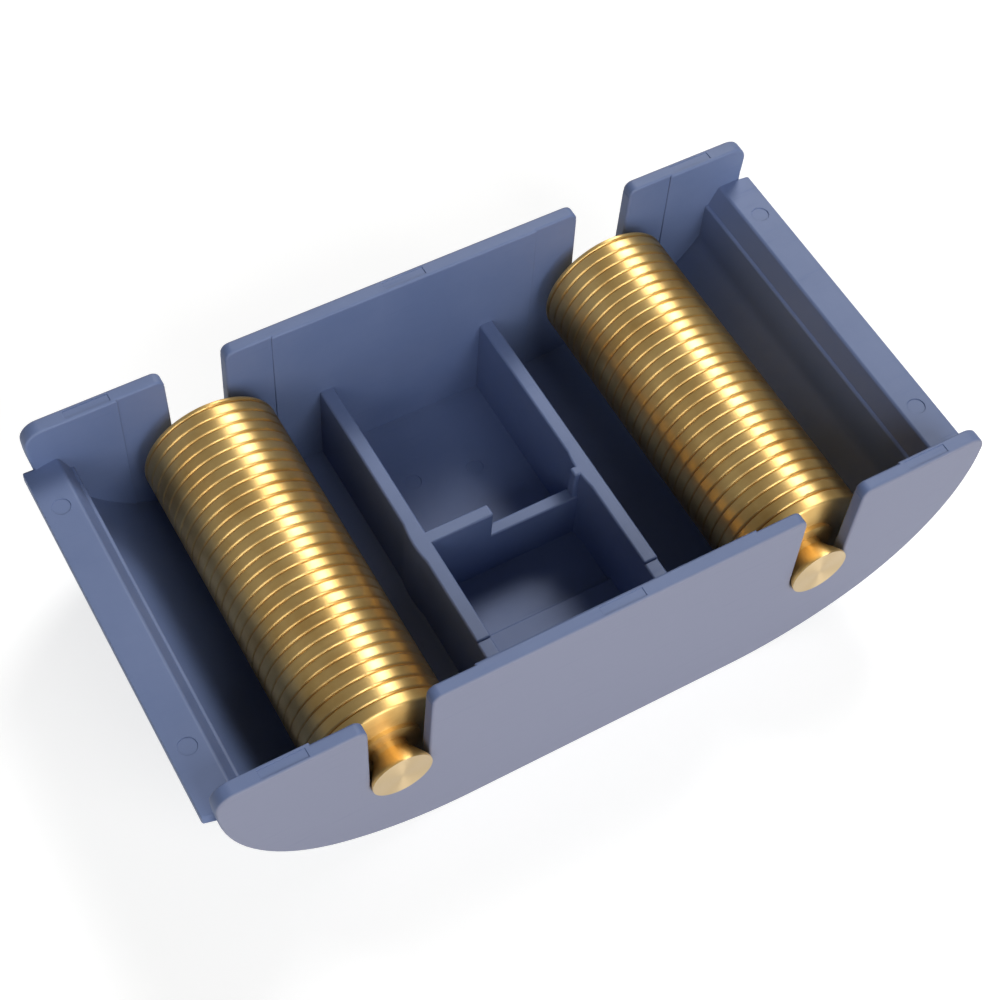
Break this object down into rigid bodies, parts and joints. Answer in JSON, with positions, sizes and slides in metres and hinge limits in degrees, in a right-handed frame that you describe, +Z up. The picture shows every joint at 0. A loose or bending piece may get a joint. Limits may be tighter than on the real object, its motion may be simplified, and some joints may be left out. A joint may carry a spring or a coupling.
{
  "type": "roller cradle for a coin sorting machine",
  "caption": "Boat-shaped moulded cradle whose side plates have open notches that hold turned brass rollers built up from loose rings; a drop-in unit of a coin sorting machine.",
  "frame": {"origin": "middle of the flat underside of the cradle", "axes": "+X along the boat towards the right roller, +Y across it from the near plate with the roller heads to the far plate, +Z up"},
  "size_m": [0.1028, 0.0547, 0.0297],
  "materials": {
    "cradle_plastic": "satin",
    "shaft_brass": "turned, matt",
    "ring_brass": "turned, bright"
  },
  "bodies": {
    "cradle": {"cradle": "cradle_plastic"},
    "left_shaft": {"left_shaft": "shaft_brass", "left_end_collar": "shaft_brass"},
    "left_ring_stack": {"left_ring_01": "ring_brass", "left_ring_02": "ring_brass", "left_ring_03": "ring_brass", "left_ring_04": "ring_brass", "left_ring_05": "ring_brass", "left_ring_06": "ring_brass", "left_ring_07": "ring_brass", "left_ring_08": "ring_brass", "left_ring_09": "ring_brass", "left_ring_10": "ring_brass", "left_ring_11": "ring_brass", "left_ring_12": "ring_brass", "left_ring_13": "ring_brass", "left_ring_14": "ring_brass", "left_ring_15": "ring_brass", "left_ring_16": "ring_brass", "left_ring_17": "ring_brass", "left_ring_18": "ring_brass", "left_ring_19": "ring_brass", "left_ring_20": "ring_brass", "left_ring_21": "ring_brass", "left_ring_22": "ring_brass", "left_ring_23": "ring_brass", "left_ring_24": "ring_brass", "left_ring_25": "ring_brass", "left_ring_26": "ring_brass", "left_ring_27": "ring_brass"},
    "right_shaft": {"right_shaft": "shaft_brass", "right_end_collar": "shaft_brass"},
    "right_ring_stack": {"right_ring_01": "ring_brass", "right_ring_02": "ring_brass", "right_ring_03": "ring_brass", "right_ring_04": "ring_brass", "right_ring_05": "ring_brass", "right_ring_06": "ring_brass", "right_ring_07": "ring_brass", "right_ring_08": "ring_brass", "right_ring_09": "ring_brass", "right_ring_10": "ring_brass", "right_ring_11": "ring_brass", "right_ring_12": "ring_brass", "right_ring_13": "ring_brass", "right_ring_14": "ring_brass", "right_ring_15": "ring_brass", "right_ring_16": "ring_brass", "right_ring_17": "ring_brass", "right_ring_18": "ring_brass", "right_ring_19": "ring_brass", "right_ring_20": "ring_brass", "right_ring_21": "ring_brass", "right_ring_22": "ring_brass", "right_ring_23": "ring_brass", "right_ring_24": "ring_brass", "right_ring_25": "ring_brass", "right_ring_26": "ring_brass", "right_ring_27": "ring_brass"}
  },
  "joints": [
    {"name": "left_roller_lift", "type": "slide", "parent": "cradle", "child": "left_shaft", "axis": [0, 0, 1], "range_m": [0, 0.024]},
    {"name": "left_ring_stack_spin", "type": "hinge", "parent": "left_shaft", "child": "left_ring_stack", "pos_m": [-0.0285, 0, 0.0162], "axis": [0, 1, 0], "continuous": true},
    {"name": "right_roller_lift", "type": "slide", "parent": "cradle", "child": "right_shaft", "axis": [0, 0, 1], "range_m": [0, 0.024]},
    {"name": "right_ring_stack_spin", "type": "hinge", "parent": "right_shaft", "child": "right_ring_stack", "pos_m": [0.0285, 0, 0.0162], "axis": [0, 1, 0], "continuous": true}
  ]
}
